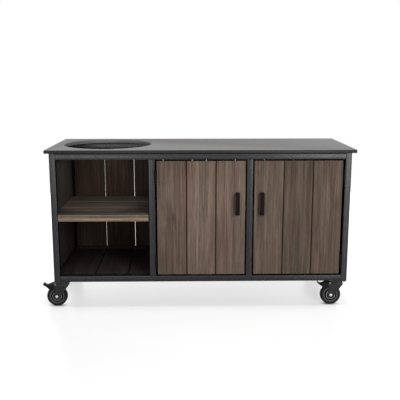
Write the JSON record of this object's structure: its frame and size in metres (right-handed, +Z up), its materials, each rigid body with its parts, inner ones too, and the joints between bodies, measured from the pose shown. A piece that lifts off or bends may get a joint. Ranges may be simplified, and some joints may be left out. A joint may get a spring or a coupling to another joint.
{
  "type": "grill table",
  "caption": "Outdoor kitchen table on casters with a round worktop cut-out for a ceramic grill, an open bay with shelf and planked cupboards.",
  "frame": {"origin": "on the floor, under the middle of the whole table's box, brake pedals and handles included", "axes": "+X to the right along the worktop as seen from the front, +Y to the back, +Z up"},
  "size_m": [1.8035, 0.6726, 0.927],
  "materials": {
    "stone": "honed grey, fine grain",
    "seat_rubber": "matt black strip",
    "frame_paint": "anthracite powder coat, satin",
    "wall_wood": "grey-brown oiled planks",
    "door_wood": "grey-brown weathered planks",
    "shelf_wood": "tan grey boards",
    "handle_paint": "dark brown, satin",
    "hinge_steel": "dark satin",
    "zinc": "zinc plated",
    "caster_steel": "black, satin",
    "wheel_rubber": "black rubber on a black core",
    "pedal_plastic": "matt black"
  },
  "bodies": {
    "frame": {"worktop": "stone", "seat_strip": "seat_rubber", "post_front_left": "frame_paint", "post_rear_left": "frame_paint", "post_front_right": "frame_paint", "post_rear_right": "frame_paint", "post_mid_left": "frame_paint", "post_mid_right": "frame_paint", "end_rail_top_left": "frame_paint", "end_rail_bottom_left": "frame_paint", "end_rail_top_right": "frame_paint", "end_rail_bottom_right": "frame_paint", "cross_rail_left": "frame_paint", "cross_rail_right": "frame_paint", "rail_front_top": "frame_paint", "rail_rear_top": "frame_paint", "rail_front_bottom": "frame_paint", "rail_rear_bottom": "frame_paint", "floor_boards": "wall_wood", "back_panel_left": "wall_wood", "back_panel_middle": "wall_wood", "back_panel_right": "wall_wood", "side_wall_left": "wall_wood", "side_wall_right": "wall_wood", "partition": "wall_wood", "shelf_fascia": "shelf_wood", "shelf_board_1": "shelf_wood", "shelf_board_2": "shelf_wood", "shelf_board_3": "shelf_wood", "hinge_frame_leaf_upper_left": "hinge_steel", "hinge_frame_leaf_lower_left": "hinge_steel", "hinge_frame_leaf_upper_right": "hinge_steel", "hinge_frame_leaf_lower_right": "hinge_steel", "catch_left": "zinc", "catch_right": "zinc", "caster_plate_front_left": "caster_steel", "caster_plate_front_right": "caster_steel", "caster_plate_rear_left": "caster_steel", "caster_plate_rear_right": "caster_steel"},
    "door_left": {"door_left": "door_wood", "handle_left": "handle_paint", "hinge_door_leaf_upper_left": "hinge_steel", "hinge_door_leaf_lower_left": "hinge_steel", "strike_left": "zinc"},
    "door_right": {"door_right": "door_wood", "handle_right": "handle_paint", "hinge_door_leaf_upper_right": "hinge_steel", "hinge_door_leaf_lower_right": "hinge_steel", "strike_right": "zinc"},
    "fork_front_left": {"caster_fork_front_left": "caster_steel"},
    "wheel_front_left": {"caster_wheel_front_left": "wheel_rubber"},
    "fork_front_right": {"caster_fork_front_right": "caster_steel"},
    "wheel_front_right": {"caster_wheel_front_right": "wheel_rubber"},
    "fork_rear_left": {"caster_fork_rear_left": "caster_steel"},
    "wheel_rear_left": {"caster_wheel_rear_left": "wheel_rubber"},
    "fork_rear_right": {"caster_fork_rear_right": "caster_steel"},
    "wheel_rear_right": {"caster_wheel_rear_right": "wheel_rubber"},
    "pedal_front_left": {"brake_pedal_front_left": "pedal_plastic"},
    "pedal_front_right": {"brake_pedal_front_right": "pedal_plastic"}
  },
  "joints": [
    {"name": "door_left_hinge", "type": "hinge", "parent": "frame", "child": "door_left", "pos_m": [-0.22833, -0.30625, 0.5265], "axis": [0, 0, 1], "range_deg": [-170, 0]},
    {"name": "door_right_hinge", "type": "hinge", "parent": "frame", "child": "door_right", "pos_m": [0.8385, -0.30625, 0.5265], "axis": [0, 0, 1], "range_deg": [0, 170]},
    {"name": "swivel_front_left", "type": "hinge", "parent": "frame", "child": "fork_front_left", "pos_m": [-0.78075, -0.25625, 0.139], "axis": [0, 0, 1], "continuous": true},
    {"name": "wheel_spin_front_left", "type": "hinge", "parent": "fork_front_left", "child": "wheel_front_left", "pos_m": [-0.81975, -0.25625, 0.06], "axis": [0, 1, 0], "continuous": true},
    {"name": "swivel_front_right", "type": "hinge", "parent": "frame", "child": "fork_front_right", "pos_m": [0.83425, -0.25625, 0.139], "axis": [0, 0, 1], "continuous": true},
    {"name": "wheel_spin_front_right", "type": "hinge", "parent": "fork_front_right", "child": "wheel_front_right", "pos_m": [0.79525, -0.25625, 0.06], "axis": [0, 1, 0], "continuous": true},
    {"name": "swivel_rear_left", "type": "hinge", "parent": "frame", "child": "fork_rear_left", "pos_m": [-0.78075, 0.26875, 0.139], "axis": [0, 0, 1], "continuous": true},
    {"name": "wheel_spin_rear_left", "type": "hinge", "parent": "fork_rear_left", "child": "wheel_rear_left", "pos_m": [-0.81975, 0.26875, 0.06], "axis": [0, 1, 0], "continuous": true},
    {"name": "swivel_rear_right", "type": "hinge", "parent": "frame", "child": "fork_rear_right", "pos_m": [0.83425, 0.26875, 0.139], "axis": [0, 0, 1], "continuous": true},
    {"name": "wheel_spin_rear_right", "type": "hinge", "parent": "fork_rear_right", "child": "wheel_rear_right", "pos_m": [0.79525, 0.26875, 0.06], "axis": [0, 1, 0], "continuous": true},
    {"name": "brake_front_left", "type": "hinge", "parent": "fork_front_left", "child": "pedal_front_left", "pos_m": [-0.82675, -0.25625, 0.134], "axis": [0, -1, 0], "range_deg": [0, 8]},
    {"name": "brake_front_right", "type": "hinge", "parent": "fork_front_right", "child": "pedal_front_right", "pos_m": [0.78825, -0.25625, 0.134], "axis": [0, -1, 0], "range_deg": [0, 8]}
  ]
}
